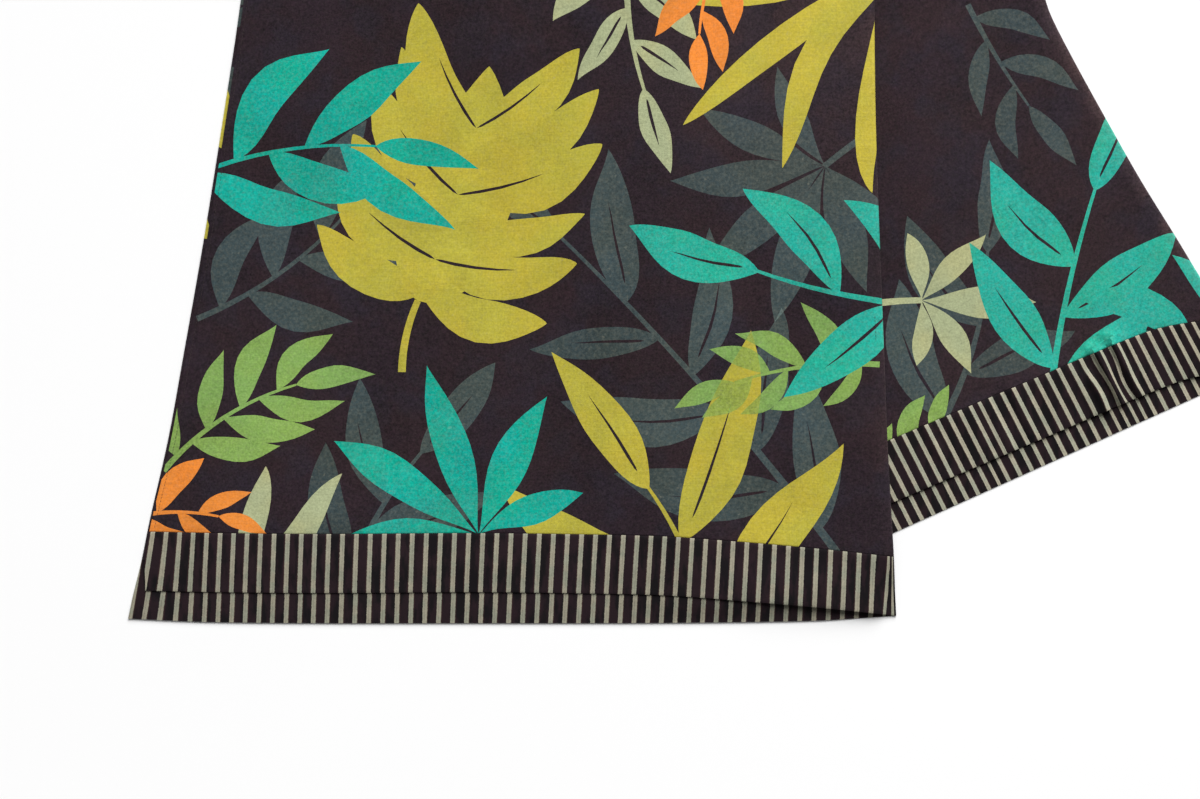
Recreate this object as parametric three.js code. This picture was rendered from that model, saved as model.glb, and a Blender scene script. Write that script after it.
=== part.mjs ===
// A sarong of printed cotton with a striped band sewn across each end, folded and laid flat.
// The cloth is folded lengthwise with the fold on the right, then doubled crosswise at the top:
// the front stretch lies on top, and the back stretch underneath swings out to the right.
// Millimetres, +Z up. X runs across the cloth, Y along it, and the surface it lies on is z = 0.

import * as THREE from "three";

// ---- driving dimensions ----------------------------------------------------------------

const clothWall = 1.1; // one layer of cloth
const layerGap = 0.4; // air between two layers that lie on each other
const seamGap = 0.33; // between two pieces at a seam, measured along the cloth
const bandHeight = 42.4; // striped band, from its seam to its hem
const foldLoft = 1.6; // how much further the layers stand apart at a lengthwise fold
const foldLoftShare = 0.2; // share of the width, from the fold inwards, that this reaches
const foldLoftPower = 1.5; // how late the layers part on the way to the fold
const frontHemY = -453.4; // lowest point of the front hem
const topFoldUp = 904.4; // top fold above the front hem, at its right-hand end
const topFoldTilt = THREE.MathUtils.degToRad(12.2); // the top fold falls to the left
const topFoldSpan = 423.7; // length of the top fold, measured across X
const slipInset = 2.2; // the upper layer's free edge lies this far inside the under layer's
const restMargin = 6; // the front stays at full height this far past the back's edges,
const freeStepRun = 90; // comes down to the surface over this run beside its free edge
const hemStepRun = 40; // and over this run below its hem

// Free (left) and folded (right) edge of the front stretch, by height above its hem.
const frontEdges = [
  { up: 0, free: -406.2, fold: 146.0 },
  { up: 20, free: -402.0, fold: 145.0 },
  { up: 45, free: -395.9, fold: 143.9 },
  { up: 74, free: -390.0, fold: 142.2 },
  { up: 131, free: -377.0, fold: 139.1 },
  { up: 189, free: -366.4, fold: 136.9 },
  { up: 275, free: -351.3, fold: 133.5 },
  { up: 361, free: -337.6, fold: 130.7 },
  { up: 447, free: -324.7, fold: 129.7 },
  { up: 600, free: -306.5, fold: 129.7 },
  { up: 750, free: -296.0, fold: 129.7 },
  { up: 904, free: -291.0, fold: 129.7 },
];

// Extra inset of the upper layer's free edge near the front hem, where it was pulled in.
const frontHemInset = [
  { up: 0, inset: 7.5 },
  { up: 23, inset: 5.8 },
  { up: 45, inset: 0.3 },
  { up: 66, inset: -0.7 },
  { up: 131, inset: 0 },
  { up: 904, inset: 0 },
];

// Hems of the front's two layers, by share of the way from the free edge to the fold:
// height above the lowest point of the hem.
const frontHems = [
  { across: 0, upper: 23.3, under: 3.2 },
  { across: 0.1, upper: 22.2, under: 0.9 },
  { across: 0.25, upper: 21.6, under: 0 },
  { across: 0.45, upper: 22.2, under: 0 },
  { across: 0.62, upper: 21.0, under: 0 },
  { across: 0.7, upper: 19.8, under: 0.2 },
  { across: 0.8, upper: 15.9, under: 0.8 },
  { across: 0.9, upper: 11.2, under: 1.9 },
  { across: 0.96, upper: 7.8, under: 3.8 },
  { across: 1, upper: 5.3, under: 5.3 },
];

// Folded edge of the back stretch, from the top fold to its hem.
const backFoldEdge = [
  { along: 0, x: 129.7, y: 450.5 },
  { along: 0.12, x: 149.0, y: 360.0 },
  { along: 0.3, x: 184.5, y: 222.0 },
  { along: 0.46, x: 219.0, y: 100.0 },
  { along: 0.607, x: 252.6, y: -6.1 },
  { along: 0.624, x: 256.9, y: -18.3 },
  { along: 0.668, x: 272.7, y: -49.2 },
  { along: 0.731, x: 296.4, y: -92.3 },
  { along: 0.795, x: 320.8, y: -135.3 },
  { along: 0.86, x: 347.4, y: -178.4 },
  { along: 0.9, x: 363.9, y: -205.7 },
  { along: 1, x: 405.6, y: -271.0 },
];

// Corner of the back stretch's free edge and hem, hidden under the front stretch.
const backFreeCorner = new THREE.Vector2(37.2, -435.5);

// How much shorter the back's upper layer is than its under layer, by share across.
const backHems = [
  { across: 0, short: 21 },
  { across: 0.3, short: 19.7 },
  { across: 0.6, short: 17.8 },
  { across: 0.86, short: 15.6 },
  { across: 0.94, short: 9 },
  { across: 1, short: 0 },
];

// Where the back's fold begins to loft: flat under the front, full in the open.
const backLoftFrom = 0.33;
const backLoftFull = 0.52;
// The front's fold flattens towards the top turn.
const frontLoftFull = 600;
const frontLoftEnd = 780;

// Numbers of cells in the faceted solids.
const cellsBesideStep = 4;
const cellsOnStep = 5;
const cellsOverBack = 6;
const cellsRoundFold = 5;
const cellsAlongStretch = 26;
const cellsAlongBand = 7;
const cellsRoundTop = 6;
const cellsAlongBack = 20;
const cellsAcrossBack = 9;
const narrowestZone = 0.05; // least share of the width that a run of cells takes
const edgeSearchTurns = 8;

// ---- small helpers -----------------------------------------------------------------------

const lerp = THREE.MathUtils.lerp;
const smooth = (x, low, high) => THREE.MathUtils.smoothstep(x, low, high);

// A smooth curve through a table's rows: the column's value where the key column is `at`.
function readTable(table, key, column, at) {
  let row = 0;
  while (row < table.length - 2 && at > table[row + 1][key]) row += 1;
  const slope = (i) => {
    const before = table[Math.max(i - 1, 0)];
    const after = table[Math.min(i + 1, table.length - 1)];
    return (after[column] - before[column]) / (after[key] - before[key]);
  };
  const a = table[row];
  const b = table[row + 1];
  const span = b[key] - a[key];
  const u = (at - a[key]) / span;
  const rise = u * u * (3 - 2 * u);
  return (
    a[column] * (1 - rise) +
    b[column] * rise +
    slope(row) * span * u * (1 - u) * (1 - u) -
    slope(row + 1) * span * u * u * (1 - u)
  );
}

// ---- where the cloth lies, seen from above --------------------------------------------------
//
// `across` runs from the free edge (0) to the lengthwise fold (1). `under` is 0 on the side
// that lies uppermost in the front stretch and 1 on its other side, and turns from one to the
// other round the fold.

function frontHemUp(across, under) {
  return lerp(
    readTable(frontHems, "across", "upper", across),
    readTable(frontHems, "across", "under", across),
    under,
  );
}

function topFoldUpAt(across) {
  return topFoldUp - (1 - across) * topFoldSpan * Math.tan(topFoldTilt);
}

function frontPlan(across, under, up) {
  const inset = slipInset + readTable(frontHemInset, "up", "inset", up);
  const free = readTable(frontEdges, "up", "free", up) + inset * (1 - under);
  const fold = readTable(frontEdges, "up", "fold", up);
  return new THREE.Vector2(lerp(free, fold, across), frontHemY + up);
}

const backFreeTop = frontPlan(0, 1, topFoldUpAt(0));
const backFreeLength = backFreeTop.distanceTo(backFreeCorner);
const backFoldLength = backFoldEdge.slice(1).reduce(
  (sum, row, i) => sum + Math.hypot(row.x - backFoldEdge[i].x, row.y - backFoldEdge[i].y),
  0,
);

function backPlan(across, under, along) {
  const free = backFreeTop.clone().lerp(backFreeCorner, along);
  free.x += slipInset * (1 - under);
  const fold = new THREE.Vector2(
    readTable(backFoldEdge, "along", "x", along),
    readTable(backFoldEdge, "along", "y", along),
  );
  return free.lerp(fold, across);
}

// Share of the back stretch, from the top fold, that lies `fromHem` above its hem.
function backAlong(across, under, fromHem) {
  const short = under * readTable(backHems, "across", "short", across);
  return 1 - (short + fromHem) / lerp(backFreeLength, backFoldLength, across);
}

// ---- how high it lies -----------------------------------------------------------------------

const backHeight = 2 * (clothWall + layerGap); // the front's height where it lies on the back

// Height of the front's underside: full over the back, and down to the surface beside it.
function frontLift(point) {
  const hemEnd = backFoldEdge[backFoldEdge.length - 1];
  const freeDirection = backFreeTop.clone().sub(backFreeCorner).normalize();
  const hemDirection = new THREE.Vector2(hemEnd.x, hemEnd.y).sub(backFreeCorner).normalize();
  const from = point.clone().sub(backFreeCorner);
  const fromFree = freeDirection.y * from.x - freeDirection.x * from.y;
  const fromHem = hemDirection.x * from.y - hemDirection.y * from.x;
  return backHeight * Math.min(
    smooth(fromFree, -restMargin - freeStepRun, -restMargin),
    smooth(fromHem, -restMargin - hemStepRun, -restMargin),
  );
}

function loftGap(across, share) {
  return layerGap + foldLoft * share * smooth(across, 1 - foldLoftShare, 1) ** foldLoftPower;
}

// ---- stations: one line across the folded cloth ---------------------------------------------

// Share across at which a station passes `outside` the back's free edge. The station's points
// lie at different heights, so the share and the height are found in turns.
function shareOutsideBack(upAt, outside) {
  const edge = backFreeTop.clone().sub(backFreeCorner);
  const skew = edge.length() / edge.y;
  let share = 0.5;
  for (let turn = 0; turn < edgeSearchTurns; turn += 1) {
    const up = upAt(share, 1);
    const edgeX = backFreeCorner.x + (edge.x * (frontHemY + up - backFreeCorner.y)) / edge.y;
    const free = readTable(frontEdges, "up", "free", up);
    const fold = readTable(frontEdges, "up", "fold", up);
    share = (edgeX - outside * skew - free) / (fold - free);
  }
  return share;
}

// Way round a station of the front, with steps on the stretch that comes down to the surface.
function frontWay(upAt) {
  const foot = Math.max(shareOutsideBack(upAt, restMargin + freeStepRun), narrowestZone);
  const top = Math.max(shareOutsideBack(upAt, restMargin), foot + narrowestZone);
  return wayRound(stepped([0, foot, top, 1], [cellsBesideStep, cellsOnStep, cellsOverBack]));
}

// Even steps between the given limits, each limit once.
function stepped(limits, cells) {
  const values = [limits[0]];
  cells.forEach((count, zone) => {
    for (let i = 1; i <= count; i += 1) {
      values.push(lerp(limits[zone], limits[zone + 1], i / count));
    }
  });
  return values;
}

// The way round a station: along one side from the free edge to the fold, half a turn round
// the fold, and back along the other side. `angle` is 0 on the first side and pi on the other.
function wayRound(shares) {
  const way = shares.map((across) => ({ across, angle: 0 }));
  for (let i = 1; i < cellsRoundFold; i += 1) {
    way.push({ across: 1, angle: (Math.PI * i) / cellsRoundFold });
  }
  shares.slice().reverse().forEach((across) => way.push({ across, angle: Math.PI }));
  return way;
}

// Places one step of the way on a face of the wall. `station` gives the gap between the two
// layers, the width there, and the place of a point by its share across, side and height.
function facePoint(station, step, outer) {
  const gap = station.gap(step.across);
  const reach = gap / 2 + (outer ? clothWall : 0);
  const foldCentre = 1 - (station.gap(1) / 2 + clothWall) / station.width;
  const across = step.across * foldCentre + (reach * Math.sin(step.angle)) / station.width;
  const under = (1 - Math.cos(step.angle)) / 2;
  return station.place(across, under, reach * Math.cos(step.angle), gap);
}

// A station of the front stretch or its band: `upAt` gives its height above the hem.
function frontStation(upAt) {
  const middleUp = upAt(0.5, 0.5);
  const loft = 1 - smooth(middleUp, frontLoftFull, frontLoftEnd);
  return {
    way: frontWay(upAt),
    gap: (across) => loftGap(across, loft),
    width: frontPlan(1, 1, middleUp).x - frontPlan(0, 1, middleUp).x,
    place: (across, under, height, gap) => {
      const plan = frontPlan(across, under, upAt(across, under));
      const middle = frontLift(plan) + clothWall + gap / 2;
      return new THREE.Vector3(plan.x, plan.y, middle + height);
    },
  };
}

// A station in the turn at the top, where the front stretch goes round to the back.
function topStation(angle) {
  const outwards = new THREE.Vector2(-Math.sin(topFoldTilt), Math.cos(topFoldTilt));
  const turnRadius = backHeight / 2;
  return {
    way: frontWay(topFoldUpAt),
    gap: () => layerGap,
    width: topFoldSpan,
    place: (across, under, height) => {
      const plan = frontPlan(across, under, topFoldUpAt(across));
      const radius = turnRadius + height;
      plan.addScaledVector(outwards, radius * Math.sin(angle));
      const centre = clothWall + layerGap / 2 + turnRadius;
      return new THREE.Vector3(plan.x, plan.y, centre + radius * Math.cos(angle));
    },
  };
}

function backStation(alongAt) {
  const along = alongAt(0.5, 0.5);
  const loft = smooth(along, backLoftFrom, backLoftFull);
  const free = backPlan(0, 1, along);
  const fold = backPlan(1, 1, along);
  return {
    way: wayRound(stepped([0, 1], [cellsAcrossBack])),
    gap: (across) => loftGap(across, loft),
    width: free.distanceTo(fold),
    place: (across, under, height, gap) => {
      const plan = backPlan(across, under, alongAt(across, under));
      return new THREE.Vector3(plan.x, plan.y, clothWall + gap / 2 - height);
    },
  };
}

// ---- solids -----------------------------------------------------------------------------------

// A wall of cloth through its stations: an outer and an inner face, joined all round.
function clothWallThrough(stations) {
  const rows = stations.length;
  const columns = stations[0].way.length;
  const positions = [];
  for (const outer of [true, false]) {
    for (const station of stations) {
      for (const step of station.way) positions.push(...facePoint(station, step, outer));
    }
  }
  const outerAt = (row, column) => row * columns + column;
  const innerAt = (row, column) => (rows + row) * columns + column;
  const indices = [];
  const quad = (a, b, c, d) => indices.push(a, b, c, a, c, d);
  for (let r = 0; r < rows - 1; r += 1) {
    for (let c = 0; c < columns - 1; c += 1) {
      quad(outerAt(r, c), outerAt(r, c + 1), outerAt(r + 1, c + 1), outerAt(r + 1, c));
      quad(innerAt(r, c), innerAt(r + 1, c), innerAt(r + 1, c + 1), innerAt(r, c + 1));
    }
    const last = columns - 1;
    quad(outerAt(r, 0), outerAt(r + 1, 0), innerAt(r + 1, 0), innerAt(r, 0));
    quad(outerAt(r, last), innerAt(r, last), innerAt(r + 1, last), outerAt(r + 1, last));
  }
  for (let c = 0; c < columns - 1; c += 1) {
    const last = rows - 1;
    quad(outerAt(0, c), innerAt(0, c), innerAt(0, c + 1), outerAt(0, c + 1));
    quad(outerAt(last, c), outerAt(last, c + 1), innerAt(last, c + 1), innerAt(last, c));
  }
  const geometry = new THREE.BufferGeometry();
  geometry.setAttribute("position", new THREE.Float32BufferAttribute(positions, 3));
  geometry.setIndex(indices);
  geometry.computeVertexNormals();
  return geometry;
}

const evenShares = (cells) => stepped([0, 1], [cells]);

// Shares that lie close together at both ends, where the front comes down beside the back.
const easedShares = evenShares(cellsAlongStretch).map(
  (share) => (1 - Math.cos(Math.PI * share)) / 2,
);

function frontStretch() {
  const flat = easedShares.map((share) =>
    frontStation((across, under) =>
      lerp(frontHemUp(across, under) + bandHeight, topFoldUpAt(across), share),
    ),
  );
  const turn = evenShares(cellsRoundTop).slice(1).map((share) => topStation(share * Math.PI));
  return clothWallThrough([...flat, ...turn]);
}

function frontEndBand() {
  return clothWallThrough(
    evenShares(cellsAlongBand).map((share) =>
      frontStation((across, under) =>
        frontHemUp(across, under) + share * (bandHeight - seamGap),
      ),
    ),
  );
}

function backStretch() {
  const start = seamGap / backFoldLength;
  return clothWallThrough(
    evenShares(cellsAlongBack).map((share) =>
      backStation((across, under) => lerp(start, backAlong(across, under, bandHeight), share)),
    ),
  );
}

function backEndBand() {
  return clothWallThrough(
    evenShares(cellsAlongBand).map((share) =>
      backStation((across, under) =>
        backAlong(across, under, lerp(bandHeight - seamGap, 0, share)),
      ),
    ),
  );
}

const printedCotton = { color: 0x3b3035, roughness: 0.85, metalness: 0 };
const stripedCotton = { color: 0x55524c, roughness: 0.85, metalness: 0 };

function piece(name, geometry, finish) {
  const mesh = new THREE.Mesh(geometry, new THREE.MeshStandardMaterial(finish));
  mesh.name = name;
  return mesh;
}

const sarong = new THREE.Group();
sarong.add(
  piece("front_stretch", frontStretch(), printedCotton),
  piece("back_stretch", backStretch(), printedCotton),
  piece("front_end_band", frontEndBand(), stripedCotton),
  piece("back_end_band", backEndBand(), stripedCotton),
);

export default sarong;
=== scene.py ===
# A sarong of printed cotton with a striped band sewn across each end, folded lengthwise with the
# fold on the right, doubled crosswise at the top and laid flat. Metres, in the frame's own axes:
# X across the cloth, Y along it, Z up from the surface it lies on.

import math
import random
from types import SimpleNamespace

import bpy
import numpy as np
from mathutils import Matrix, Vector
from mathutils.geometry import delaunay_2d_cdt


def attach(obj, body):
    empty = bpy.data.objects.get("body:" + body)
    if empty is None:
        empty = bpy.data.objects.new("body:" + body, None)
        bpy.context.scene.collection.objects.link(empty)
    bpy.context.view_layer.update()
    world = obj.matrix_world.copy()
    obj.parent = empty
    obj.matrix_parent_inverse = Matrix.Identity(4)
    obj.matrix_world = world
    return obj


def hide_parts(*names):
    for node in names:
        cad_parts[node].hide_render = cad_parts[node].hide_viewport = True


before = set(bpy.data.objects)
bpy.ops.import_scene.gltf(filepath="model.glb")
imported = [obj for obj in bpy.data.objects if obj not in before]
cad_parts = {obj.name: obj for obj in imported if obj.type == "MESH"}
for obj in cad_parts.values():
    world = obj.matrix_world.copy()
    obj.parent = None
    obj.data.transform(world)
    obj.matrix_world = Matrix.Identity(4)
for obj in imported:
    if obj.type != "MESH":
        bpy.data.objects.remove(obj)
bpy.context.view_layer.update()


def table(columns, *rows):
    """A table as one array for each named column, of which the first is the key."""
    return dict(zip(columns.split(), np.array(rows, float).T))


def read(rows, column, at):
    """A smooth curve through a table's rows: the column's value where the key is `at`."""
    at = np.asarray(at, float)
    keys, values = next(iter(rows.values())), rows[column]
    last = len(keys) - 1
    before = np.maximum(np.arange(last + 1) - 1, 0)
    after = np.minimum(np.arange(last + 1) + 1, last)
    slopes = (values[after] - values[before]) / (keys[after] - keys[before])
    a = np.clip(np.searchsorted(keys, at, side="left") - 1, 0, last - 1)
    b = a + 1
    span = keys[b] - keys[a]
    share = (at - keys[a]) / span
    rise = share * share * (3 - 2 * share)
    return (
        values[a] * (1 - rise)
        + values[b] * rise
        + slopes[a] * span * share * (1 - share) ** 2
        - slopes[b] * span * share**2 * (1 - share)
    )


def smooth(x, low, high):
    """0 at low, 1 at high, and an even rise between them."""
    share = np.clip((np.asarray(x, float) - low) / (high - low), 0, 1)
    return share * share * (3 - 2 * share)


def lerp(a, b, share):
    """From a to b by a share of the way."""
    return a + (b - a) * share


# ---- the folded cloth's sizes ----

cloth_wall = 0.0011  # room that one layer of cloth takes up
layer_gap = 0.0004  # air between two layers that lie on each other
seam_gap = 0.00033  # between the two stretches, at the top turn's end
band_height = 0.0424  # striped band, from its seam to its hem
fold_loft = 0.0016  # how much further the layers stand apart at a lengthwise fold
fold_loft_share = 0.2  # share of the width, from the fold inwards, that this reaches
fold_loft_power = 1.5  # how late in that stretch the layers part
front_hem_y = -0.4534  # lowest point of the front hem
top_fold_up = 0.9044  # top fold above the front hem, at its right-hand end
top_fold_tilt = math.radians(12.2)
top_fold_span = 0.4237  # the top fold's width
slip_inset = 0.0022  # the upper layer's free edge lies this far inside the under layer's
rest_margin = 0.006  # the front lies at its full height this far past the back's edges
free_step_run = 0.090  # run over which it comes down beyond the back's free edge
hem_step_run = 0.040  # run over which it comes down beyond the back's hem
hem_drop_run = 0.016  # the front comes down to the surface over this much above its hem
hem_off = 0.0005  # how far its hem still stands off the surface
hem_off_run = 0.035  # height above the hem at which it lies close
hem_off_end = (0.09, 0.13)  # X over which the hem comes to lie close beside the fold
pressed_flat = 0.42  # how much flatter the lengthwise fold lies at the front's hem
pressed_up = (0.006, 0.045)  # heights above the hem over which the fold rounds out again
pressed_across = (0.90, 0.98)  # shares of the width over which the pressing begins
front_loft_rise = (0, 0.15)  # heights above the front's hem over which its fold opens
front_loft_fall = (0.600, 0.780)  # heights over which it closes
back_loft_rise = (0.33, 0.52)  # shares along the back over which its fold opens
back_height = 2 * (cloth_wall + layer_gap)

# Free (left) and folded (right) edge of the front stretch, by height above its hem.
front_edges = table(
    "up free fold",
    (0.000, -0.4062, 0.1460),
    (0.020, -0.4020, 0.1450),
    (0.045, -0.3959, 0.1439),
    (0.074, -0.3900, 0.1422),
    (0.131, -0.3770, 0.1391),
    (0.189, -0.3664, 0.1369),
    (0.275, -0.3513, 0.1335),
    (0.361, -0.3376, 0.1307),
    (0.447, -0.3247, 0.1297),
    (0.600, -0.3065, 0.1297),
    (0.750, -0.2960, 0.1297),
    (0.904, -0.2910, 0.1297),
)

# Extra inset of the upper layer's free edge near the front hem.
front_hem_inset = table(
    "up inset",
    (0.000, 0.0075),
    (0.023, 0.0058),
    (0.045, 0.0003),
    (0.066, -0.0007),
    (0.131, 0.0),
    (0.904, 0.0),
)

# Hems of the front's two layers, above the lowest point of the hem.
front_hems = table(
    "across upper under",
    (0.00, 0.0233, 0.0032),
    (0.10, 0.0222, 0.0009),
    (0.25, 0.0216, 0.0),
    (0.45, 0.0222, 0.0),
    (0.62, 0.0210, 0.0),
    (0.70, 0.0198, 0.0002),
    (0.80, 0.0159, 0.0008),
    (0.90, 0.0112, 0.0019),
    (0.96, 0.0078, 0.0038),
    (1.00, 0.0053, 0.0053),
)

# Folded edge of the back stretch, from the top fold to its hem.
back_fold_edge = table(
    "along x y",
    (0.000, 0.1297, 0.4505),
    (0.120, 0.1490, 0.3600),
    (0.300, 0.1845, 0.2220),
    (0.460, 0.2190, 0.1000),
    (0.607, 0.2526, -0.0061),
    (0.624, 0.2569, -0.0183),
    (0.668, 0.2727, -0.0492),
    (0.731, 0.2964, -0.0923),
    (0.795, 0.3208, -0.1353),
    (0.860, 0.3474, -0.1784),
    (0.900, 0.3639, -0.2057),
    (1.000, 0.4056, -0.2710),
)

# Corner of the back stretch's free edge and hem, under the front stretch.
back_free_corner = np.array([0.0372, -0.4355])

# How much shorter the back's upper layer is than its under layer.
back_hems = table(
    "across short",
    (0.00, 0.0210),
    (0.30, 0.0197),
    (0.60, 0.0178),
    (0.86, 0.0156),
    (0.94, 0.0090),
    (1.00, 0.0),
)

# ---- the opened cloth ----
#
# A place on a stretch is (u, v). u runs across the opened cloth, from the upper layer's free edge
# (-open_half) over the lengthwise fold (0) to the under layer's free edge (+open_half). v runs
# from the band's seam (0) up to the top fold (open_length), and on round the turn there.

half_turn = 0.0033  # from where a layer begins to turn at the fold to the fold's outermost line
open_width = 0.55  # one layer
open_half = open_width + half_turn
open_length = 0.82
top_turn = 0.009  # the front's turn over the top

# What the real sheets measure, seen as thin shells in the room of the walls.
cloth_thickness = 0.00045
hem_thickness = 0.0009
band_thickness = 0.0007
narrow_hem = 0.0042  # turned hem along a free edge
free_edge_droop = 0.0009  # the upper layer comes down onto the under layer at its free edge
droop_run = 0.012


def way_round(u):
    """Share across (0 at the free edge, 1 at the fold), angle round the fold, and share under."""
    angle = (1 + np.clip(u / half_turn, -1, 1)) * math.pi / 2
    share = 1 - np.maximum(np.abs(u) - half_turn, 0) / open_width
    return share, angle, (1 - np.cos(angle)) / 2


def round_fold(share, angle, width, loft):
    """Where the outer face of a folded layer lies: across, gap to the other layer, height."""
    gap = layer_gap + fold_loft * loft * smooth(share, 1 - fold_loft_share, 1) ** fold_loft_power
    fold_radius = (layer_gap + fold_loft * loft) / 2 + cloth_wall
    reach = gap / 2 + cloth_wall
    across = share * (1 - fold_radius / width) + reach * np.sin(angle) / width
    return across, gap, reach * np.cos(angle)


def front_hem_up(across, under):
    """Height of the front's own hem, for its upper (0) or under (1) layer."""
    upper = read(front_hems, "upper", across)
    return lerp(upper, read(front_hems, "under", across), under)


def front_seam_up(across, under):
    return front_hem_up(across, under) + band_height


def top_up(across):
    """Height of the slanted top fold."""
    return top_fold_up - (1 - across) * top_fold_span * math.tan(top_fold_tilt)


def front_sides(up, under):
    """X of the front stretch's free edge and of its fold, at a height above the hem."""
    inset = slip_inset + read(front_hem_inset, "inset", up)
    free = read(front_edges, "free", up) + inset * (1 - under)
    return free, read(front_edges, "fold", up)


back_free_top = np.array([float(front_sides(top_up(0), 1)[0]), front_hem_y + top_up(0)])
back_free_length = float(np.hypot(*(back_free_top - back_free_corner)))
back_fold_length = float(
    np.hypot(np.diff(back_fold_edge["x"]), np.diff(back_fold_edge["y"])).sum()
)
back_hem_end = np.array([back_fold_edge["x"][-1], back_fold_edge["y"][-1]])


def back_sides(along, under):
    """Points of the back stretch's free edge and of its fold, as x and y."""
    free_x = lerp(back_free_top[0], back_free_corner[0], along) + slip_inset * under
    free_y = lerp(back_free_top[1], back_free_corner[1], along)
    fold_x = read(back_fold_edge, "x", along)
    fold_y = read(back_fold_edge, "y", along)
    return free_x, free_y, fold_x, fold_y


def back_along(across, under, from_hem):
    """Share of the back stretch, from the top fold, that lies from_hem above its hem."""
    short = (1 - under) * read(back_hems, "short", across)
    return 1 - (short + from_hem) / lerp(back_free_length, back_fold_length, across)


def front_lift(x, y):
    """Height of the front's underside: full over the back, and down to the surface beside it."""
    free_way = (back_free_top - back_free_corner) / back_free_length
    hem_way = back_hem_end - back_free_corner
    hem_way = hem_way / np.hypot(*hem_way)
    from_x, from_y = x - back_free_corner[0], y - back_free_corner[1]
    from_free = free_way[1] * from_x - free_way[0] * from_y
    from_hem = hem_way[0] * from_y - hem_way[1] * from_x
    over_back = back_height * np.minimum(
        smooth(from_free, -rest_margin - free_step_run, -rest_margin),
        smooth(from_hem, -rest_margin - hem_step_run, -rest_margin),
    )
    up = y - front_hem_y
    off = hem_off * (1 - smooth(up, 0, hem_off_run)) * (1 - smooth(x, *hem_off_end))
    return over_back * smooth(up, 0, hem_drop_run) + off


def front_face(u, up_at, turn=0.0):
    """Outer face of the front: points, distance from the free edge, and how much it is on top."""
    share, angle, under = way_round(u)
    guess = up_at(share, under)
    free, fold = front_sides(guess, 1)
    loft = (1 - smooth(guess, *front_loft_fall)) * smooth(guess, *front_loft_rise)
    across, gap, height = round_fold(share, angle, fold - free, loft)
    up = up_at(across, under)
    free, fold = front_sides(up, under)
    x = lerp(free, fold, across)
    y = front_hem_y + up
    lift = front_lift(x, y)
    flat = 1 - pressed_flat * (1 - smooth(up, *pressed_up)) * smooth(across, *pressed_across)
    gap, height = gap * flat - 2 * cloth_wall * (1 - flat), height * flat
    radius = back_height / 2 + height
    out = radius * np.sin(turn)
    z = lift - back_height / 2 + cloth_wall + gap / 2 + radius * np.cos(turn)
    places = np.stack(
        [x - math.sin(top_fold_tilt) * out, y + math.cos(top_fold_tilt) * out, z], axis=-1
    )
    return places, across * (fold - free), np.maximum(np.cos(angle), 0)


def back_face(u, along_at):
    """Outer face of the back, told as front_face tells the front's."""
    share, angle, under = way_round(u)
    guess = along_at(share, under)
    free_x, free_y, fold_x, fold_y = back_sides(guess, under)
    width = np.hypot(fold_x - free_x, fold_y - free_y)
    across, gap, height = round_fold(share, angle, width, smooth(guess, *back_loft_rise))
    free_x, free_y, fold_x, fold_y = back_sides(along_at(across, under), under)
    z = cloth_wall + gap / 2 + height
    places = np.stack([lerp(free_x, fold_x, across), lerp(free_y, fold_y, across), z], axis=-1)
    return places, across * width, np.maximum(np.cos(angle), 0)


def front_cloth_face(u, v):
    return front_face(
        u,
        lambda across, under: lerp(
            front_seam_up(across, under), top_up(across), np.clip(v / open_length, 0, 1)
        ),
        np.clip((v - open_length) / top_turn, 0, 1) * math.pi,
    )


def front_band_face(u, v):
    """v is the height above the band's own hem."""
    return front_face(u, lambda across, under: front_hem_up(across, under) + v)


def back_cloth_face(u, v):
    return back_face(
        u,
        lambda across, under: lerp(
            back_along(across, under, band_height),
            seam_gap / back_fold_length,
            np.clip(v / open_length, 0, 1),
        ),
    )


def back_band_face(u, v):
    return back_face(u, lambda across, under: back_along(across, under, v))


halvings = 24  # in finding a place along the back


def across_open(from_fold, width):
    """u for a signed distance from the fold on the opened cloth."""
    turning = np.abs(from_fold) <= half_turn
    out = (np.abs(from_fold) - half_turn) / (width - half_turn)
    return np.where(turning, from_fold, np.sign(from_fold) * (half_turn + out * open_width))


def onto_front(points):
    """(u, v) on the front for points of the plan, which goes on past the fold as if opened."""
    x, y = points.T
    up = y - front_hem_y
    under = (x > front_sides(up, 0)[1]).astype(float)
    free, fold = front_sides(up, under)
    u = across_open(x - fold, fold - free)
    share = way_round(u)[0]
    seam = front_seam_up(share, under)
    return np.stack([u, open_length * (up - seam) / (top_up(share) - seam)], axis=-1)


def onto_back(points):
    """(u, v) on the back for points of the plan, found by halving the share along it."""
    x, y = points.T
    low, high = np.full(len(x), -0.5), np.full(len(x), 1.5)
    for _ in range(halvings):
        along = (low + high) / 2
        free_x, free_y, fold_x, fold_y = back_sides(along, 0)
        beyond = (fold_x - free_x) * (y - free_y) < (fold_y - free_y) * (x - free_x)
        low = np.where(beyond, along, low)
        high = np.where(beyond, high, along)
    width = np.hypot(fold_x - free_x, fold_y - free_y)
    outwards = ((x - fold_x) * (fold_x - free_x) + (y - fold_y) * (fold_y - free_y)) / width
    u = across_open(outwards, width)
    share = way_round(u)[0]
    seam = back_along(share, (outwards > 0).astype(float), band_height)
    start = seam_gap / back_fold_length
    return np.stack([u, open_length * (seam - along) / (seam - start)], axis=-1)


# ---- soft creases ----

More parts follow.
